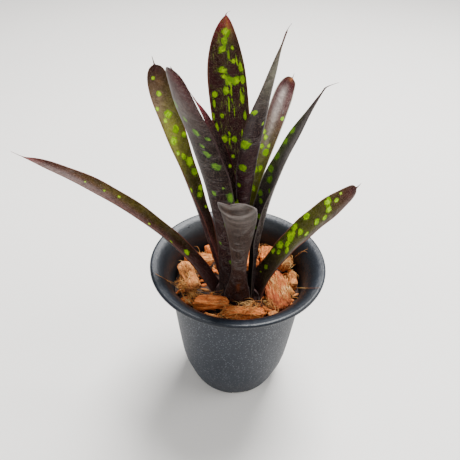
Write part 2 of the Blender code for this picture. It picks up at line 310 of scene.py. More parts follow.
def vectors_of(obj, kind):
    found = np.empty(len(obj.data.vertices) * 3)
    obj.data.vertices.foreach_get(kind, found)
    return found.reshape(-1, 3)


def points_of(obj):
    return vectors_of(obj, "co")


def normals_of(obj):
    return vectors_of(obj, "normal")


def move_points(obj, points):
    obj.data.vertices.foreach_set("co", np.asarray(points).ravel())
    obj.data.update()


def copy_of(pattern):
    made = pattern.copy()
    made.data = pattern.data.copy()
    bpy.context.collection.objects.link(made)
    return made


def joined(pieces):
    bpy.ops.object.select_all(action="DESELECT")
    for piece in pieces:
        piece.select_set(True)
    bpy.context.view_layer.objects.active = pieces[0]
    bpy.ops.object.join()
    return bpy.context.object


def wrap_up(obj, name, finish, slot, *nodes, smooth=ALL_SMOOTH):
    """Names and finishes a piece, and says what it rides on and stands for."""
    obj.name = obj.data.name = name
    obj.data.materials.clear()
    obj.data.materials.append(finish)
    take(obj)
    if smooth == ALL_SMOOTH:
        bpy.ops.object.shade_smooth()
    else:
        bpy.ops.object.shade_smooth_by_angle(angle=math.radians(smooth))
    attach(obj, "root")
    if nodes:
        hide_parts(*nodes)
    return obj


def turned(profile, segments):
    """A ring at the first (radius, height), extruded and resized to each next one.

    Both ends are closed.
    """
    (radius, height), rest = profile[0], profile[1:]
    bpy.ops.mesh.primitive_circle_add(
        vertices=segments, radius=radius * MM, location=(0, 0, height * MM), fill_type="NGON"
    )
    obj = bpy.context.object
    settle(obj)
    bpy.ops.object.mode_set(mode="EDIT")
    bpy.ops.mesh.select_all(action="SELECT")
    for r, z in rest:
        bpy.ops.mesh.extrude_edges_move(TRANSFORM_OT_translate={"value": (0, 0, (z - height) * MM)})
        bpy.ops.transform.resize(value=(r / radius, r / radius, 1), center_override=(0, 0, z * MM))
        radius, height = r, z
    bpy.ops.mesh.edge_face_add()
    bpy.ops.mesh.select_all(action="SELECT")
    bpy.ops.mesh.normals_make_consistent(inside=False)
    bpy.ops.object.mode_set(mode="OBJECT")
    return obj


def eased(points, rounds=2):
    """Rounds the corners of an outline by cutting each twice; its ends stay."""
    for _ in range(rounds):
        cut = [points[0]]
        for (a, b), (c, d) in zip(points, points[1:]):
            cut.append((0.75 * a + 0.25 * c, 0.75 * b + 0.25 * d))
            cut.append((0.25 * a + 0.75 * c, 0.25 * b + 0.75 * d))
        points = cut + [points[-1]]
    return points


# ---------------------------------------------------------------- pot

def cut_away(obj, kind, places, size):
    """Cuts a round hole or a square slot out of the object's foot at each (angle, radius)."""
    for angle, radius in places:
        x, y = radius * MM * math.cos(angle), radius * MM * math.sin(angle)
        if kind == "hole":
            bpy.ops.mesh.primitive_cylinder_add(
                vertices=32, radius=size[0] * MM, depth=size[1] * MM, location=(x, y, 3 * MM)
            )
        else:
            bpy.ops.mesh.primitive_cube_add(size=1, location=(x, y, 0), rotation=(0, 0, angle))
            bpy.context.object.scale = [s * MM for s in size]
        tool = bpy.context.object
        take(obj)
        cut = obj.modifiers.new("cut", "BOOLEAN")
        cut.operation, cut.solver, cut.object = "DIFFERENCE", "EXACT", tool
        bpy.ops.object.modifier_apply(modifier="cut")
        bpy.data.objects.remove(tool, do_unlink=True)


def make_pot():
    top = RIM_TOP
    under = [(7.5, 0.0), (8.2, 2.4), (22.0, 2.4), (22.5, 0.0), (27.9, 0.0), (28.4, 0.5),
             (29.8, 4.0)]
    wall = eased([(29.8, 4.0), (31.8, 10.0), (34.9, 20.0), (36.7, 35.0), (38.7, 55.0),
                  (40.5, 74.0), (41.4, 82.0), (42.8, 88.0), (45.4, 91.1), (48.6, 92.9),
                  (50.4, 93.3)], 1)
    lip = eased([(51.2, 92.8), (52.0, 92.8), (52.5, 93.4), (52.5, 94.3), (51.9, 94.9),
                 (50.9, top)], 1)
    flare = eased([(50.9, top), (48.0, 94.4), (45.2, 92.5), (42.6, 89.4), (41.0, 85.5),
                   (40.1, 80.7), (39.2, 74.0)], 2)
    inside = [(37.4, 55.0), (35.4, 35.0), (33.6, 20.4), (30.5, 10.6), (28.4, 5.4), (27.2, 4.2),
              (4.0, 4.2)]
    pot = turned(under + wall[1:] + lip + flare[1:] + inside, 112)
    turn = math.radians(60)
    holes = [(math.radians(30) + turn * i, DRAIN_CIRCLE) for i in range(6)]
    slots = [(math.radians(-80) + turn * i, SLOT_CIRCLE) for i in range(6)]
    cut_away(pot, "hole", holes, (DRAIN_HOLE_RADIUS, 12))
    cut_away(pot, "slot", slots, SLOT_SIZE)
    level, normals = points_of(pot)[:, :2], normals_of(pot)[:, :2]
    inward = -(normals * level).sum(-1) / np.hypot(level[:, 0], level[:, 1])
    # How far each point faces the pot's axis; the plastic paints shade on the inward faces by it.
    facing_in = pot.data.attributes.new("inside", "FLOAT", "POINT")
    facing_in.data.foreach_set("value", smooth_step((inward - 0.2) / 0.6))
    wrap_up(pot, "pot_shell", pot_plastic(), "pot_plastic", "pot", smooth=35)


# ---------------------------------------------------------------- medium

def make_medium():
    top = MEDIUM_TOP
    sides = [(27.0, 4.8), (28.6, 6.2), (30.1, 10.6), (33.1, 20.4), (35.0, 35.0), (37.0, 55.0),
             (38.7, top - 1.6)]
    rings = [(r, top - 0.3) for r in (38.0, 36, 34, 32, 30, 28, 26, 24, 22, 20, 18, 16.4)]
    seat = [(15.2, top - 0.6), (14.3, top - 1.0), (10.4, top - 4.6), (8.2, top - 10.4),
            (6.2, top - 13.6)]
    medium = turned(sides + rings + seat, 96)
    points = points_of(medium)
    for p in points:
        if p[2] > (top - 0.5) * MM:
            lumps = noise.noise(Vector(p) * 260) * 1.1 + noise.noise(Vector(p) * 700) * 0.5
            p[2] += (lumps - 0.9) * MM
    move_points(medium, points)
    wrap_up(medium, "bark_medium", bark_medium(), "medium", "growing_medium", smooth=80)


# ---------------------------------------------------------------- leaves

# Direction and swing, sheath radius, lean at base and tip and its lateness, length, width, sheath,
# neck, widest, bluntness, channel and tip channel, turn and tip turn. The shapes are the frame's,
# but for front's width, sheath and bluntness and right_low's sheath, which close the rosette.
LEAVES = {
    "inner_young": (144, 6, 2.8, 0, 43, 2.2, 122, 10.8, 1.05, 0.68, 0.54, 0.95, 63, 50, -5, 1),
    "centre_back": (104, 4, 4.4, 1, 26.5, 1.0, 155, 25.0, 0.80, 0.45, 0.81, 0.74, 24, 64, -6, -46),
    "front_right": (-74, 13, 5.9, 0, 24.5, 1.35, 168, 14.9, 0.72, 0.45, 0.60, 1.7, 93, 12, 7, 20),
    "back_right": (67, 3, 7.3, 0, 67, 1.25, 133, 12.2, 0.70, 0.45, 0.85, 0.30, 95, 15, -30, 41),
    "back_left": (163, -37, 8.7, 16, 27, 1.6, 137, 13.6, 0.70, 1.05, 0.85, 0.40, 78, 12, 30, -15),
    "front_left": (239, 21, 10.1, 1, 35.5, 0.85, 171, 21.0, 0.70, 0.85, 0.54, 0.36, 71, 12, 8, -33),
    "right": (-12, 15, 10.1, 0, 27.5, 1.5, 135, 20.4, 0.70, 0.60, 0.42, 1.15, 68, 12, 24, 9),
    "front": (-88, -11, 11.5, 19, 52, 1.95, 140, 19.0, 0.92, 0.63, 0.62, 0.40, 95, 39, -2, 3.5),
    "right_low": (-7, 4, 13.2, 4.5, 42, 0.5, 94, 17.0, 1.45, 0.85, 0.69, 0.39, 38, 12, 35, 9),
    "left_low": (180, -9, 12.9, 26.5, 74.5, 0.95, 136, 13.0, 0.85, 0.91, 0.56, 0.73, 82, 49,
                 -20, -3),
}

MAROON, PLUM = srgb(52, 16, 22), srgb(34, 18, 26)
GREY = srgb(88, 84, 86)
LIME, LIME_DEEP = srgb(170, 214, 0), srgb(108, 152, 0)

# For each leaf: colours of the upper and under side; silver scales on each side; length of the
# spine at the tip and how far it bends along x, y and z; how far the tip hoods over; washes as
# (along, across, reach along, reach across, side, colour, strength), with side 1 the upper, 0 the
# under and 0.5 both; blotches as (along, across, half length, half width) in mm. Along runs from
# 0 at the base to 1 at the tip, and across from -1 at one margin to 1 at the other.
LOOKS = {
    "inner_young": dict(
        upper=srgb(26, 7, 11), under=srgb(22, 7, 11), scales=(0.1, 0.1), spine=(5, 0, 0, 0), hood=0,
        washes=[(1.0, 0, 0.08, 2, 0.5, srgb(130, 40, 54), 0.9)],
        blotches=[(0.6, 0.1, 1.4, 0.9), (0.68, -0.7, 1.2, 0.9), (0.5, -0.6, 1.6, 1.0),
                  (0.75, 0.5, 0.8, 0.6)]),
    "centre_back": dict(
        upper=srgb(54, 20, 22), under=PLUM, scales=(0.08, 0.4), spine=(2.6, 2.6, 0, -0.4), hood=0,
        washes=[(1.0, 0, 0.05, 2, 0.5, srgb(160, 36, 58), 0.95),
                (0.97, -0.1, 0.025, 0.2, 1, srgb(220, 120, 70), 0.7),
                (0.93, 0.05, 0.05, 0.5, 1, srgb(84, 92, 34), 0.6),
                (0.4, 0, 0.28, 2, 1, srgb(24, 10, 12), 0.85)],
        blotches=[(0.95, 0.1, 2.4, 2.2), (0.925, 0.22, 2.0, 1.6), (0.90, 0.33, 1.8, 2.0),
                  (0.90, -0.23, 1.0, 1.1), (0.86, -0.20, 1.3, 1.5), (0.84, -0.63, 2.4, 2.0),
                  (0.835, 0.33, 1.9, 2.1), (0.80, -0.66, 2.3, 2.3), (0.80, -0.25, 2.0, 2.6),
                  (0.80, 0.1, 2.1, 2.0), (0.77, 0.23, 2.0, 1.7), (0.76, 0.73, 1.6, 1.6),
                  (0.73, 0.80, 2.6, 0.7), (0.74, -0.53, 2.4, 1.6), (0.69, -0.67, 1.9, 1.2),
                  (0.69, 0.50, 1.5, 1.0), (0.61, 0.50, 2.0, 2.0), (0.61, 0.00, 1.5, 1.5),
                  (0.69, 0.92, 1.8, 0.9), (0.65, 0.80, 2.6, 0.9), (0.63, 0.23, 1.0, 0.7),
                  (0.58, 0.83, 1.5, 1.1), (0.55, 0.10, 1.1, 1.0), (0.815, 0.32, 1.4, 1.6),
                  (0.48, -0.3, 1.2, 1.2), (0.77, -0.66, 4.5, 0.5), (0.76, -0.45, 3.4, 0.4),
                  (0.77, 0.02, 5.5, 0.5), (0.72, 0.16, 5.0, 0.45), (0.88, 0.03, 3.6, 0.5),
                  (0.7, -0.1, 3.6, 0.4), (0.86, -0.4, 3.0, 0.4), (0.63, -0.45, 3.5, 0.4),
                  (0.6, 0.25, 3.0, 0.4)]),
    "front_right": dict(
        upper=MAROON, under=srgb(30, 20, 25), scales=(0.15, 0.4), spine=(3.6, 0.8, 0, 0), hood=0,
        washes=[(1.0, 0, 0.05, 2, 0.5, srgb(110, 40, 40), 0.9),
                (0.9, 0, 0.09, 2, 0.5, srgb(118, 118, 100), 0.7),
                (0.74, -0.7, 0.14, 0.3, 0, srgb(110, 104, 104), 0.4),
                (0.66, 0.95, 0.14, 0.25, 0, srgb(150, 140, 138), 0.6),
                (0.5, -0.4, 0.16, 0.8, 0, srgb(62, 28, 36), 0.6),
                (0.28, 0, 0.16, 2, 0, srgb(34, 10, 18), 0.9)],
        blotches=[(0.77, -0.70, 1.4, 1.6), (0.66, -0.70, 2.9, 2.5), (0.57, -0.57, 2.1, 1.8),
                  (0.50, -0.70, 1.5, 1.0), (0.43, -0.9, 1.4, 1.2), (0.72, 0.3, 1.0, 0.8),
                  (0.36, 0.2, 1.6, 1.2)]),
    "back_right": dict(
        upper=srgb(72, 42, 44), under=PLUM, scales=(0.6, 0.4), spine=(3.6, 0, -0.6, 0.8), hood=1.0,
        # The pale stripe along the middle of the upper side is partly silvery scales, partly a
        # painted sheen along the channel.
        washes=[(0.86, 0.1, 0.24, 0.34, 1, srgb(176, 164, 158), 0.85),
                (0.5, 0, 0.2, 2, 1, srgb(92, 98, 8), 0.92),
                (0.98, 0, 0.03, 2, 1, srgb(84, 34, 38), 0.9),
                (1.0, 0.15, 0.014, 0.5, 1, srgb(208, 128, 72), 0.85)],
        blotches=[(0.72, 0.70, 1.5, 1.4), (0.70, 0.30, 1.4, 1.2), (0.64, -0.17, 2.0, 1.8),
                  (0.57, -0.07, 1.8, 1.3), (0.56, 0.50, 1.5, 1.3), (0.60, 0.9, 1.7, 1.6),
                  (0.49, 0.83, 2.1, 1.7), (0.66, 0.50, 1.5, 1.5), (0.67, -0.30, 1.3, 1.1),
                  (0.48, 0.2, 1.6, 1.2), (0.8, -0.7, 1.3, 0.9)]),
    "back_left": dict(
        upper=srgb(72, 70, 12), under=srgb(52, 14, 22), scales=(0.12, 0.25),
        spine=(3.8, -0.3, 0, 0.6), hood=0.9,
        washes=[(1.0, 0, 0.12, 2, 0.5, srgb(56, 20, 28), 0.97),
                (0.93, 0.1, 0.03, 0.4, 1, srgb(126, 96, 60), 0.5),
                (0.85, 0.5, 0.07, 0.8, 1, srgb(124, 96, 84), 0.7),
                (0.73, 0.1, 0.1, 0.7, 1, srgb(148, 150, 60), 0.75),
                (0.36, 0, 0.16, 2, 0.5, srgb(40, 16, 20), 0.95),
                (0.14, 0, 0.16, 2, 0.5, srgb(48, 10, 18), 0.97),
                (0.18, -0.4, 0.12, 0.4, 1, srgb(104, 40, 52), 0.6)],
        blotches=[(0.81, 0.00, 1.9, 2.1), (0.89, 0.23, 1.4, 1.4), (0.71, 0.27, 2.2, 2.4),
                  (0.61, -0.60, 3.0, 1.9), (0.56, -0.75, 2.2, 1.7), (0.75, -0.27, 2.2, 1.9),
                  (0.72, -0.8, 1.6, 1.4), (0.84, 0.77, 1.1, 1.0), (0.49, -0.8, 2.1, 1.5),
                  (0.46, -0.57, 2.0, 1.6), (0.66, 0.27, 1.2, 1.7), (0.79, 0.40, 1.3, 1.5),
                  (0.95, 0.43, 1.0, 1.1), (0.64, -0.2, 1.8, 1.4), (0.5, 0.2, 1.4, 1.0),
                  (0.4, -0.8, 1.2, 0.8)]),
    "front_left": dict(
        upper=MAROON, under=srgb(34, 28, 28), scales=(0.2, 0.35), spine=(2.0, 0, 0, 0), hood=0.3,
        washes=[(1.0, 0.2, 0.15, 1.6, 0.5, srgb(62, 8, 18), 0.97),
                (0.84, -0.3, 0.07, 0.7, 0, srgb(104, 98, 92), 0.6),
                (0.8, -0.95, 0.22, 0.22, 0, srgb(128, 124, 120), 0.8),
                (0.55, -0.9, 0.25, 0.22, 0, GREY, 0.8),
                (0.66, 0.4, 0.16, 0.5, 0, srgb(16, 12, 14), 0.8),
                (0.28, 0, 0.24, 2, 0, srgb(34, 9, 15), 0.92)],
        blotches=[(0.79, 0.23, 2.1, 1.8), (0.71, 0.40, 2.2, 1.7), (0.66, 0.63, 2.6, 2.3),
                  (0.51, 0.85, 4.2, 1.6), (0.82, -0.27, 1.5, 1.2), (0.74, 0.33, 1.3, 1.2),
                  (0.85, -0.77, 2.2, 1.6), (0.53, 0.13, 2.0, 1.3), (0.56, 0.63, 1.2, 0.8),
                  (0.78, 0.73, 1.3, 1.1), (0.33, 0.5, 1.8, 1.2), (0.24, 0.6, 1.6, 1.0),
                  (0.2, 0.4, 1.8, 1.0), (0.28, -0.2, 1.2, 1.0), (0.16, 0.7, 1.6, 1.0)]),
    "right": dict(
        upper=srgb(44, 38, 38), under=srgb(46, 40, 40), scales=(0.3, 0.4),
        spine=(3.0, 4.6, 0, 0.4), hood=0,
        washes=[(0.66, -0.35, 0.3, 0.5, 1, srgb(104, 98, 94), 0.8),
                (1.0, 0, 0.06, 2, 0.5, srgb(66, 38, 42), 0.95),
                (0.74, 0.8, 0.14, 0.4, 1, srgb(70, 88, 20), 0.7),
                (0.25, 0, 0.25, 2, 0.5, srgb(34, 20, 26), 0.95)],
        blotches=[(0.81, 0.8, 2.0, 1.9), (0.69, 0.8, 2.2, 1.9), (0.63, 0.75, 2.2, 2.1),
                  (0.51, 0.8, 2.0, 1.6), (0.48, 0.60, 1.8, 1.6), (0.76, 0.8, 2.2, 1.8),
                  (0.59, 0.50, 2.0, 1.8), (0.41, 0.4, 1.9, 1.7), (0.55, 0.2, 1.3, 1.0),
                  (0.35, 0.6, 1.7, 1.3)]),
    "front": dict(
        upper=MAROON, under=srgb(36, 29, 27), scales=(0.25, 0.6), spine=(1.6, 0, 0, 0), hood=0.4,
        washes=[(0.985, 0, 0.035, 2, 0, srgb(112, 106, 102), 0.8),
                # The light bands across the under side at 0.82, 0.75 and 0.69 are painted
                # highlights.
                (0.82, 0, 0.022, 0.9, 0, srgb(128, 122, 118), 0.8),
                (0.75, 0, 0.02, 0.8, 0, srgb(96, 90, 86), 0.7),
                (0.69, 0, 0.018, 0.7, 0, srgb(76, 70, 66), 0.6),
                # The near-black band at 0.885 is a painted shadow in the gap under the hooded tip.
                (0.885, 0, 0.03, 0.8, 0, srgb(4, 3, 3), 0.98),
                (0.45, 0, 0.12, 2, 0, srgb(36, 26, 23), 0.8),
                (0.14, 0, 0.2, 2, 0, srgb(40, 9, 11), 0.97),
                (0.16, 0.05, 0.03, 0.16, 0, srgb(150, 70, 8), 0.9)],
        blotches=[(0.63, -0.92, 2.2, 0.9)]),
    "right_low": dict(
        upper=srgb(66, 70, 6), under=srgb(54, 44, 46), scales=(0.12, 0.4), spine=(3.0, 0, 0, 1.0),
        hood=0.5,
        washes=[(1.0, 0, 0.2, 2, 1, srgb(62, 22, 28), 0.97),
                (0.6, -0.85, 0.5, 0.3, 1, srgb(108, 98, 98), 0.7),
                (0.02, 0, 0.16, 2, 0.5, srgb(56, 12, 20), 0.95),
                (0.24, -0.2, 0.14, 1.5, 0.5, srgb(40, 28, 20), 0.9),
                # The pale pink patch on the sheath's base is partly pale sheath tissue, partly a
                # painted sheen.
                (0.02, 0.8, 0.1, 0.4, 0.5, srgb(196, 166, 174), 0.6)],
        blotches=[(0.81, 0.60, 2.1, 2.1), (0.80, 0.00, 1.6, 2.0), (0.65, 0.72, 2.2, 2.1),
                  (0.55, 0.72, 2.2, 2.0), (0.49, 0.47, 3.0, 2.8), (0.40, 0.6, 2.6, 2.4),
                  (0.21, 0.43, 1.7, 1.4), (0.76, -0.37, 1.4, 1.6), (0.90, 0.60, 0.8, 1.0),
                  (0.15, 0.50, 0.9, 0.8), (0.70, -0.17, 1.6, 1.8), (0.57, 0.13, 2.0, 2.0),
                  (0.45, 0.2, 2.2, 1.8), (0.52, 0.45, 1.8, 1.6), (0.36, 0.3, 1.6, 1.2),
                  (0.86, 0.25, 1.4, 1.3), (0.43, -0.20, 1.8, 1.7), (0.33, 0.75, 2.0, 1.4),
                  (0.61, -0.4, 1.5, 1.3)]),
    "left_low": dict(
        upper=srgb(58, 28, 24), under=srgb(70, 62, 60), scales=(0.3, 0.45),
        spine=(6, -1.0, 0, 1.0), hood=0,
        washes=[(0.85, 0.5, 0.2, 0.6, 1, srgb(100, 88, 84), 0.7),
                (0.5, -0.7, 0.22, 0.4, 1, srgb(110, 100, 30), 0.7),
                (1.0, 0, 0.05, 2, 0.5, srgb(96, 42, 44), 0.85),
                (0.1, 0, 0.14, 2, 0.5, srgb(50, 16, 18), 0.9),
                (0.35, 0.8, 0.3, 0.4, 1, srgb(108, 98, 96), 0.5)],
        blotches=[(0.61, -0.50, 0.9, 0.7), (0.53, 0.6, 0.8, 0.8), (0.62, 0.7, 0.6, 0.7),
                  (0.24, -0.13, 2.0, 1.7), (0.45, 0.17, 0.7, 0.8), (0.67, -0.30, 0.5, 0.6),
                  (0.33, 0.3, 0.9, 0.7), (0.75, -0.2, 0.5, 0.5)]),
}
PLAIN = dict(
    mottle=srgb(120, 108, 108), flecks=0.6, fleck=srgb(158, 134, 120), wax=srgb(146, 140, 138),
    lime=LIME, lime_deep=LIME_DEEP, lime_share=0.95, scribble=0.0, margin=srgb(110, 62, 50),
    gloss=0.05)
SPECIAL = {
    "centre_back": dict(scribble=0.45, flecks=0.8),
    "front_left": dict(lime=srgb(112, 160, 44), lime_deep=srgb(74, 112, 40), lime_share=0.75,
                       margin=srgb(70, 56, 56), gloss=0.015),
    "front_right": dict(lime=srgb(150, 200, 20), margin=srgb(84, 64, 62), gloss=0.02),
    "front": dict(lime_share=0.5, margin=srgb(110, 100, 96), gloss=0.03),
    "right": dict(lime=srgb(120, 168, 30), lime_deep=srgb(80, 120, 30), lime_share=0.8,
                  margin=srgb(96, 90, 84)),
    "back_right": dict(margin=srgb(206, 206, 186)),
    "inner_young": dict(margin=srgb(70, 24, 30)),
}


# How much faster the spine runs than the blade in the measure along a leaf.
SPINE_RATE = 20


class LeafShape:
    """A point and the way inward for any place along and across a leaf.

    Along runs from 0 to 1 and then a little past it, on the spine; across from -1 to 1.
    """

    NECK_AT, OPEN_BY, HOOD_FROM = 0.22, 0.35, 0.93
    LEAST_WIDTH, SPINE_WIDTH = 0.8, 0.16
    WAVE, WAVES = 0.25, 31

    def __init__(self, row, look):
        (self.direction, self.swing, self.sheath_radius, self.lean, self.tip_lean, self.lateness,
         self.length, self.width, self.sheath, self.neck, self.widest, self.bluntness,
         self.channel, self.tip_channel, self.turn, self.tip_turn) = row
        self.spine, self.bend = look["spine"][0], np.array(look["spine"][1:])
        self.hood = look["hood"]
        self.fine = np.linspace(0, 1, 401)
        self.frames = self.midrib(self.fine)

    def widths(self, s):
        rise = np.where(
            s < self.NECK_AT,
            self.sheath + (self.neck - self.sheath) * smooth_step(s / self.NECK_AT),
            self.neck
            + (1 - self.neck) * smooth_step((s - self.NECK_AT) / (self.widest - self.NECK_AT)),
        )
        fall = (1 - np.clip((s - self.widest) / (1 - self.widest), 0, 1) ** 2.2) ** self.bluntness
        return np.maximum(self.width * np.where(s < self.widest, rise, fall), self.LEAST_WIDTH)

    def half_angles(self, s):
        """Half the angle that the leaf's cross section turns through: the sheath wraps the stem."""
        wrap = math.degrees(self.width * self.sheath / (2 * self.sheath_radius))
        base = math.radians(min(wrap, 150))
        middle, tip = math.radians(self.channel), math.radians(self.tip_channel)
        opening = base + (middle - base) * smooth_step(s / self.OPEN_BY)
        flattening = middle + (tip - middle) * smooth_step((s - self.OPEN_BY) / (1 - self.OPEN_BY))
        return np.where(s < self.OPEN_BY, opening, flattening)

    def midrib(self, s):
        lean = np.radians(self.lean + (self.tip_lean - self.lean) * s**self.lateness)
        way = np.radians(self.direction + self.swing * s**1.5)
        level = np.sin(lean)
        along = np.stack([level * np.cos(way), level * np.sin(way), np.cos(lean)], -1)
        steps = (along[1:] + along[:-1]) / 2 * np.diff(s)[:, None] * self.length
        points = np.concatenate([np.zeros((1, 3)), np.cumsum(steps, axis=0)])
        start = math.radians(self.direction)
        points += (
            PLANT_CENTRE[0] + self.sheath_radius * math.cos(start),
            PLANT_CENTRE[1] + self.sheath_radius * math.sin(start),
            LEAF_BASE,
        )
        across = np.stack([-np.sin(way), np.cos(way), 0 * way], -1)
        inward = np.cross(along, across)
        turn = np.radians(self.turn + (self.tip_turn - self.turn) * s)[:, None]
        side = across * np.cos(turn) + inward * np.sin(turn)
        return points, along, side, inward * np.cos(turn) - across * np.sin(turn)

    def at(self, s, u):
        """Points in mm and inward directions for arrays of places."""
        held = np.clip(s, 0, 1)
        points, along, side, inward = (
            np.stack([np.interp(held, self.fine, part[:, k]) for k in range(3)], -1)
            for part in self.frames
        )
        half = self.half_angles(held)
        width = self.widths(held)
        past = np.clip(s - 1, 0, None)[..., None] * SPINE_RATE
        share = np.clip((s - 1) * SPINE_RATE, 0, 1)
        width = width * (1 - share) + self.SPINE_WIDTH * share
        radius = width / (2 * half)
        angle = half * u
        wave = self.WAVE * np.sin(s * self.WAVES + 2.0 * np.sign(u)) * np.abs(u) ** 3
        wave = wave * smooth_step(s * 4) * (1 - share)
        x, z = radius * np.sin(angle), radius * (1 - np.cos(angle)) + wave
        place = points + x[..., None] * side + z[..., None] * inward
        place = place + past * self.spine * along + past**2 * self.bend
        curl = np.clip((held - self.HOOD_FROM) / (1 - self.HOOD_FROM), 0, 1)[..., None] * self.hood
        place = place + curl**2 * (3.2 * inward - 1.6 * along)
        facing = inward * np.cos(angle)[..., None] - side * np.sin(angle)[..., None]
        return place, facing, width


LEAF_ROWS, LEAF_COLUMNS = 96, 13
# The share of a leaf's rows that is blade; the rest is its spine.
BLADE_SHARE = 0.94
LEAF_THICKNESS = 1.0


def make_leaf(name):
    look = PLAIN | LOOKS[name] | SPECIAL.get(name, {})
    shape = LeafShape(LEAVES[name], look)
    bpy.ops.mesh.primitive_grid_add(x_subdivisions=LEAF_COLUMNS, y_subdivisions=LEAF_ROWS, size=2)
    leaf = bpy.context.object
    flat = points_of(leaf)
    u, v = flat[:, 0], (flat[:, 1] + 1) / 2
    blade = 1 - (1 - np.clip(v / BLADE_SHARE, 0, 1)) ** 1.35
    spine = np.clip((v - BLADE_SHARE) / (1 - BLADE_SHARE), 0, 1)
    s = np.where(v < BLADE_SHARE, blade, 1 + spine / SPINE_RATE)
    place, _, _ = shape.at(s, u)
    move_points(leaf, place * MM)
    layer = leaf.data.uv_layers["UVMap"]
    corner = np.empty(len(leaf.data.loops), int)
    leaf.data.loops.foreach_get("vertex_index", corner)
    layer.uv.foreach_set("vector", np.stack([u, s], -1)[corner].ravel())
    thick = leaf.vertex_groups.new(name="thick")
    body = (1 - 0.45 * np.clip(s, 0, 1)) * (1 - 0.6 * np.abs(u) ** 4)
    body *= np.where(s > 1, 0.35 - (s - 1) * 4, 1)
    for i, share in enumerate(body):
        thick.add([i], float(max(share, 0.12)), "REPLACE")
    wall = leaf.modifiers.new("wall", "SOLIDIFY")
    wall.thickness, wall.offset, wall.vertex_group = LEAF_THICKNESS * MM, 0.0, "thick"
    rounding = leaf.modifiers.new("rounding", "SUBSURF")
    rounding.levels = rounding.render_levels = 1
    apply_all(leaf)
    bpy.ops.object.mode_set(mode="EDIT")
    bpy.ops.mesh.select_all(action="SELECT")
    bpy.ops.mesh.normals_make_consistent(inside=False)
    bpy.ops.object.mode_set(mode="OBJECT")
    leaf.vertex_groups.clear()
    colour_leaf(leaf, shape, look)
    finish = leaf_finish(f"leaf {name.replace('_', ' ')}", look)
    wrap_up(leaf, f"leaf_blade_{name}", finish, "leaf", f"leaf_{name}")


def colour_leaf(leaf, shape, look):
    """Lays the colour washes, the blotches, the silver scales and the margin on each point."""
    mesh = leaf.data
    corner = np.empty(len(mesh.loops), int)
    mesh.loops.foreach_get("vertex_index", corner)
    pairs = np.empty(len(mesh.loops) * 2)
    mesh.uv_layers["UVMap"].uv.foreach_get("vector", pairs)
    pairs = pairs.reshape(-1, 2)
    count = np.bincount(corner)
    u = np.bincount(corner, pairs[:, 0]) / count
    s = np.bincount(corner, pairs[:, 1]) / count
    _, facing, width = shape.at(s, u)
    upper = smooth_step(((normals_of(leaf) * facing).sum(-1) + 0.35) / 0.7)
    ground = np.array(look["under"]) + (np.array(look["upper"]) - look["under"]) * upper[:, None]
    for along, across, reach, spread, side, colour, strength in look["washes"]:
        shown = {0: 1 - upper, 1: upper, 0.5: 1 + 0 * upper}[side]
        fade = np.exp(-(((s - along) / reach) ** 2) - ((u - across) / spread) ** 2)
        weight = strength * shown * fade
        ground += (np.array(colour) - ground) * weight[:, None]
    spot = np.full(len(s), -2.0)
    for along, across, long, wide in look["blotches"]:
        away = np.hypot((s - along) * shape.length / long, (u - across) * width / 2 / wide)
        spot = np.maximum(spot, 1 - away)
    scales = look["scales"][1] + (look["scales"][0] - look["scales"][1]) * upper
    rgba = mesh.attributes.new("ground", "FLOAT_COLOR", "POINT")
    rgba.data.foreach_set("color", np.concatenate([ground, upper[:, None]], 1).ravel())
    marks = mesh.attributes.new("marks", "FLOAT_VECTOR", "POINT")
    marks.data.foreach_set("vector", np.stack([spot, scales, np.abs(u)], -1).ravel())
    size = np.stack([pairs[:, 0] * width[corner] / 2 / 100, pairs[:, 1] * shape.length / 100], -1)
    mesh.uv_layers["UVMap"].uv.foreach_set("vector", size.ravel())


# ---------------------------------------------------------------- husk chips

# As in the frame: middle x, y, z, length, width, thickness, heading, roll, pitch; then its finish.
CHIPS = [
    (-30.0, 0.5, 79.2, 25, 9.0, 7.0, -66, 14, 0, "tan"),
    (-21.0, 16.5, 78.6, 9, 7.5, 7.0, 20, 0, 8, "tan"),
    (-14.5, -22.0, 80.0, 20, 7.2, 7.0, 6, -8, 0, "orange"),
    (4.5, -28.6, 79.2, 24, 6.6, 7.0, 3, -6, 0, "orange"),
    (24.0, -9.0, 79.6, 29, 13.6, 7.5, -78, 6, 4, "red"),
    (18.8, 24.2, 78.8, 16, 8.8, 7.0, 84, 0, 5, "orange"),
    (29.9, 15.2, 79.8, 10, 7.2, 7.0, 40, 0, -6, "tan"),
    (34.6, 1.5, 78.4, 12, 4.6, 7.0, -82, 0, 0, "tan"),
    (-8.0, 16.5, 78.0, 13, 8.0, 6.5, -18, 5, 0, "tan"),
    (7.0, 16.0, 78.0, 12, 8.0, 6.5, 32, -5, 0, "orange"),
    (-1.5, 28.0, 78.6, 15, 8.5, 7.0, 6, 0, 5, "tan"),
    (-16.5, 28.0, 78.4, 11, 7.5, 6.5, 38, 4, 0, "orange"),
    (11.0, 33.4, 78.0, 6, 5.0, 6.5, -15, 0, 0, "tan"),
    (-31.0, 18.2, 78.0, 7, 5.5, 6.0, 60, 0, 0, "orange"),
    (-29.0, -19.4, 77.0, 6, 5.5, 5.0, 30, 0, 0, "orange"),
    (22.0, -27.8, 77.4, 6, 5.5, 5.5, 35, 0, 0, "tan"),
    (19.0, 10.4, 77.4, 7, 5.5, 5.5, -30, 0, 0, "orange"),
    (-20.5, 6.5, 76.8, 7, 6.0, 5.0, 15, 0, 0, "tan"),
    (-14.0, -32.0, 77.4, 9, 4.6, 5.5, -22, 0, 0, "tan"),
]


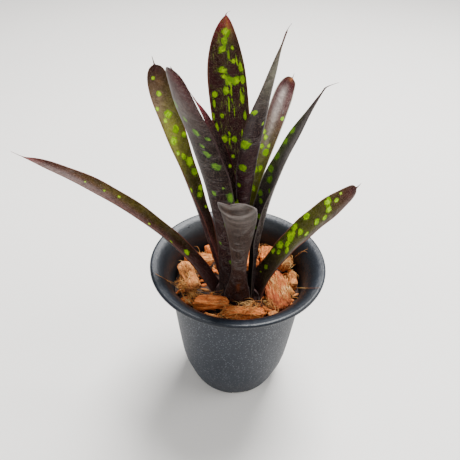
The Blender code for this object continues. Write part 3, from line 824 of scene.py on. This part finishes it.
def keep_grain(obj, seed):
    """Stores each point's place on the uncut husk, with x along the fibres."""
    grain = obj.data.attributes.new("grain", "FLOAT_VECTOR", "POINT")
    points = points_of(obj) + np.array([0.31, 0.17, 0.07]) * seed
    grain.data.foreach_set("vector", points.ravel())


def rounded(obj, levels):
    rounding = obj.modifiers.new("rounding", "SUBSURF")
    rounding.levels = rounding.render_levels = levels
    apply_all(obj)


def roughen(obj, amount, scale, stretch, seed):
    """Moves each point along its normal by noise drawn out along the fibres."""
    points, normals = points_of(obj), normals_of(obj)
    shift = Vector((seed * 3.7, seed * 1.3, 0))
    for i, p in enumerate(points):
        spot = Vector((p[0] * stretch, p[1], p[2])) / MM * scale + shift
        points[i] = p + normals[i] * noise.noise(spot) * amount * MM
    move_points(obj, points)


def make_chip(number, row, finishes):
    x, y, z, length, width, thickness, heading, roll, pitch, kind = row
    rng = random.Random(40 + number)
    bpy.ops.mesh.primitive_cube_add(size=1)
    chip = bpy.context.object
    chip.scale = (length * MM, width * MM, thickness * MM)
    settle(chip)
    bpy.ops.object.mode_set(mode="EDIT")
    bpy.ops.mesh.select_all(action="SELECT")
    bpy.ops.mesh.subdivide(number_cuts=3, smoothness=0.0)
    bpy.ops.object.mode_set(mode="OBJECT")
    half = np.array([length, width, thickness]) / 2 * MM
    points = points_of(chip)
    shift = Vector((rng.uniform(0, 50), rng.uniform(0, 50), number))
    for i, p in enumerate(points):
        q = p / half
        squeeze = 1 - 0.13 * max(0.0, float(np.sort(np.abs(q))[1]) - 0.3) ** 2 * 2
        lumps = noise.noise_vector(Vector(q) * 1.1 + shift)
        points[i] = p * squeeze + np.array(lumps) * half * 0.16
    move_points(chip, points)
    rounded(chip, 2)
    roughen(chip, 1.0, 0.28, 0.35, number)
    rounded(chip, 1)
    roughen(chip, 0.65, 1.1, 0.18, number + 50)
    keep_grain(chip, number)
    chip.location = (x * MM, y * MM, z * MM)
    chip.rotation_euler = (math.radians(roll), math.radians(pitch), math.radians(heading))
    settle(chip)
    wrap_up(chip, f"husk_chip_{number:02d}", finishes[kind], "husk", f"chip_{number:02d}")


# How many crumbs are tried, the ring around the pot's middle that they lie in, and how far from
# the plant's middle they stay.
CRUMB_COUNT, CRUMB_RING, CRUMBS_KEEP_OFF = 230, (15.5, 37.5), 14.5


def make_crumbs(finishes):
    """Small crumbs and splinters of husk in the gaps between the chips."""
    rng = random.Random(12)
    bpy.ops.mesh.primitive_ico_sphere_add(subdivisions=2, radius=1.0)
    pattern = bpy.context.object
    base = points_of(pattern)
    kinds = {"tan": [], "orange": []}
    for i in range(CRUMB_COUNT):
        angle = rng.uniform(0, 2 * math.pi)
        radius = math.sqrt(rng.uniform(CRUMB_RING[0] ** 2, CRUMB_RING[1] ** 2))
        x, y = radius * math.cos(angle), radius * math.sin(angle)
        if math.hypot(x - PLANT_CENTRE[0], y - PLANT_CENTRE[1]) < CRUMBS_KEEP_OFF:
            continue
        size = np.array([rng.uniform(1.2, 3.4), rng.uniform(0.7, 1.5), rng.uniform(0.6, 1.2)])
        crumb = copy_of(pattern)
        shift = Vector((i, 0, 0))
        bumps = np.array([1 + 0.35 * noise.noise(Vector(p) * 1.6 + shift) for p in base])
        move_points(crumb, base * bumps[:, None] * size * MM)
        keep_grain(crumb, i * 0.1)
        turn = Euler((rng.uniform(-0.5, 0.5), rng.uniform(-0.4, 0.4), rng.uniform(0, 6.28)))
        place = (x * MM, y * MM, (MEDIUM_TOP + rng.uniform(0.2, 4.0)) * MM)
        crumb.matrix_world = Matrix.Translation(place) @ turn.to_matrix().to_4x4()
        kinds["orange" if i % 3 else "tan"].append(crumb)
    bpy.data.objects.remove(pattern, do_unlink=True)
    for kind, crumbs in kinds.items():
        heap = joined(crumbs)
        settle(heap)
        wrap_up(heap, f"husk_crumbs_{kind}", finishes[kind], "husk")


# Bundles of loose strands: middle x, y, z, spread, heading and how far it wanders, length, lift,
# half thickness and how many.
STRANDS = [
    (-30, 1, 83.0, 5.0, -70, 50, 11, 2.0, 0.15, 46),
    (-33, -9, 81.0, 4.0, -40, 60, 9, 1.6, 0.15, 44),
    (-26, -17, 80.5, 5.0, -20, 60, 11, 1.5, 0.15, 40),
    (-14, -21, 83.8, 5.0, 8, 30, 8, 0.6, 0.09, 16),
    (-4, -28, 81.6, 6.0, 0, 70, 10, 1.8, 0.14, 34),
    (8, -27, 83.2, 5.0, 10, 70, 11, 1.8, 0.14, 34),
    (24, -4, 84.0, 6.0, -72, 20, 13, 0.8, 0.11, 46),
    (29, -12, 83.2, 4.0, -76, 24, 14, 0.8, 0.15, 40),
    (20, -22, 82.0, 4.0, -50, 60, 9, 1.2, 0.11, 18),
    (31, 14, 84.0, 4.0, 20, 70, 9, 2.4, 0.14, 56),
    (34, 3, 82.2, 2.5, -80, 60, 8, 1.2, 0.11, 16),
    (19, 24, 83.2, 5.0, 80, 50, 9, 1.4, 0.11, 22),
    (0, 27, 83.0, 8.0, 0, 180, 9, 1.6, 0.11, 26),
    (-20, 18, 82.6, 6.0, 20, 180, 8, 1.6, 0.11, 20),
]
# Single long strands that lean on or over the rim's flare: start, end, bow sideways.
LONG_STRANDS = [
    ((-33.0, -16.0, 83.5), (-47.5, -15.5, 95.6), 1.5),
    ((-30.0, -21.0, 80.5), (-41.0, -17.0, 91.0), -2.0),
    ((31.0, -12.0, 84.5), (47.0, -21.5, 95.6), -2.0),
    ((30.0, -18.0, 81.5), (36.5, -27.0, 88.0), 2.0),
    ((35.0, 15.0, 84.5), (43.0, 12.5, 92.6), 1.5),
    ((36.0, 17.0, 84.0), (44.0, 15.5, 93.2), -1.5),
]


# Their lift, half thickness and waver.
LONG_STRAND = (2.0, 0.17, 0.3)
# How far from the pot's middle a loose strand may reach: just inside the wall.
STRAND_REACH = 38.6


def strand_pattern():
    """One straight strand of unit length, four-sided and cut into six."""
    bpy.ops.mesh.primitive_cylinder_add(
        vertices=4, radius=1.0, depth=1.0, end_fill_type="NGON", rotation=(0, math.pi / 2, 0)
    )
    strand = bpy.context.object
    settle(strand)
    bpy.ops.object.mode_set(mode="EDIT")
    for share in (-1, 1, -2, 2, 0):
        bpy.ops.mesh.select_all(action="SELECT")
        bpy.ops.mesh.bisect(plane_co=(share / 6, 0, 0), plane_no=(1, 0, 0))
    bpy.ops.object.mode_set(mode="OBJECT")
    return strand


def lay_strand(pattern, start, end, lift, sideways, thickness, wander, rng):
    """One strand from start to end, arched up by lift and sideways, and wavering a little."""
    strand = copy_of(pattern)
    start, end = Vector(start), Vector(end)
    way = end - start
    side = Vector((-way.y, way.x, 0)).normalized()
    points = points_of(strand)
    phase = rng.uniform(0, 6.28)
    for i, p in enumerate(points):
        t = p[0] + 0.5
        arch = 4 * t * (1 - t)
        aside = sideways * arch + wander * math.sin(7 * t + phase)
        middle = start + way * t + side * aside + Vector((0, 0, lift * arch))
        taper = thickness * (1 - 0.5 * abs(2 * t - 1) ** 2)
        points[i] = (middle + side * p[1] * taper + Vector((0, 0, p[2] * taper))) * MM
    move_points(strand, points)
    return strand


def make_strands(finish):
    rng = random.Random(31)
    pattern = strand_pattern()
    for number, row in enumerate(STRANDS, 1):
        x, y, z, spread, heading, wander, length, lift, thickness, count = row
        made = []
        for _ in range(count):
            way = math.radians(heading + rng.uniform(-wander, wander))
            reach = length * rng.uniform(0.5, 1.1) / 2
            cx, cy = x + rng.gauss(0, spread / 2), y + rng.gauss(0, spread / 2)
            cz = z + rng.uniform(-1.2, 0.5)
            run = Vector((math.cos(way) * reach, math.sin(way) * reach, rng.uniform(-0.8, 0.8)))
            middle = Vector((cx, cy, cz))
            ends = [middle - run, middle + run]
            for end in ends:
                away = math.hypot(end.x, end.y)
                if away > STRAND_REACH:
                    end.x, end.y = end.x * STRAND_REACH / away, end.y * STRAND_REACH / away
            rise, bow = lift * rng.uniform(0.2, 1), rng.uniform(-2, 2)
            made.append(lay_strand(pattern, *ends, rise, bow, thickness, 0.4, rng))
        wrap_up(joined(made), f"coir_strands_{number:02d}", finish, "husk")
    lift, thickness, wander = LONG_STRAND
    made = [
        lay_strand(pattern, start, end, lift, bow, thickness, wander, rng)
        for start, end, bow in LONG_STRANDS
    ]
    wrap_up(joined(made), "coir_strands_over_rim", finish, "husk")
    bpy.data.objects.remove(pattern, do_unlink=True)


# ---------------------------------------------------------------- room

def make_room():
    bpy.ops.mesh.primitive_plane_add(size=4)
    floor = bpy.context.object
    floor.name = "floor"
    f = Finish("pale matt board")
    tone = f.noise(f.place(), 3.0, 3.0)
    colour = f.mix(tone, srgb(234, 231, 226), srgb(241, 238, 233))
    floor.data.materials.append(f.finish(colour=colour, roughness=0.65, specular=0.25))
    target = Vector((0, 0, 0.1))
    for name, place, size, power in (
        ("top light", (0.2, 0.55, 1.2), 0.65, 48.0),
        ("front light", (-0.7, -0.8, 0.9), 0.8, 6.5),
        ("side light", (0.9, -0.1, 0.8), 0.7, 7.0),
    ):
        bpy.ops.object.light_add(type="AREA", location=place)
        light = bpy.context.object
        light.name = name
        light.rotation_euler = (target - Vector(place)).to_track_quat("-Z", "Y").to_euler()
        light.data.energy, light.data.size = power, size
    world = bpy.context.scene.world or bpy.data.worlds.new("room")
    bpy.context.scene.world = world
    world.use_nodes = True
    background = world.node_tree.nodes["Background"]
    background.inputs["Color"].default_value = (0.97, 0.98, 1.0, 1)
    background.inputs["Strength"].default_value = 0.4


def make_camera():
    pitch, yaw, roll = math.radians(38.17), math.radians(-1.35), math.radians(1.757)
    level = math.cos(pitch)
    forward = Vector((math.sin(yaw) * level, math.cos(yaw) * level, -math.sin(pitch)))
    right = Vector((math.cos(yaw), -math.sin(yaw), 0))
    up = right.cross(forward)
    x = right * math.cos(roll) + up * math.sin(roll)
    y = -right * math.sin(roll) + up * math.cos(roll)
    bpy.ops.object.camera_add()
    camera = bpy.context.object
    camera.data.lens, camera.data.sensor_width = 39.0, 36.0
    turn = Matrix((x, y, -forward)).transposed().to_4x4()
    camera.matrix_world = Matrix.Translation((0, -0.2245, 0.2939)) @ turn
    bpy.context.scene.camera = camera


make_camera()
make_room()
make_pot()
make_medium()
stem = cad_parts["stem"]
stem.data.materials.clear()
stem.data.materials.append(stem_tissue())
for leaf_name in LEAVES:
    make_leaf(leaf_name)
husks = {
    "tan": husk("tan coconut husk", srgb(104, 58, 30), srgb(190, 118, 64), srgb(228, 168, 104)),
    "orange": husk("orange coconut husk", srgb(112, 50, 20), srgb(202, 108, 50),
                   srgb(236, 156, 88)),
    "red": husk("red-brown coconut husk", srgb(84, 34, 18), srgb(152, 72, 38), srgb(204, 124, 66)),
}
for chip_number, chip_row in enumerate(CHIPS, 1):
    make_chip(chip_number, chip_row, husks)
make_crumbs(husks)
make_strands(fibre_strand())
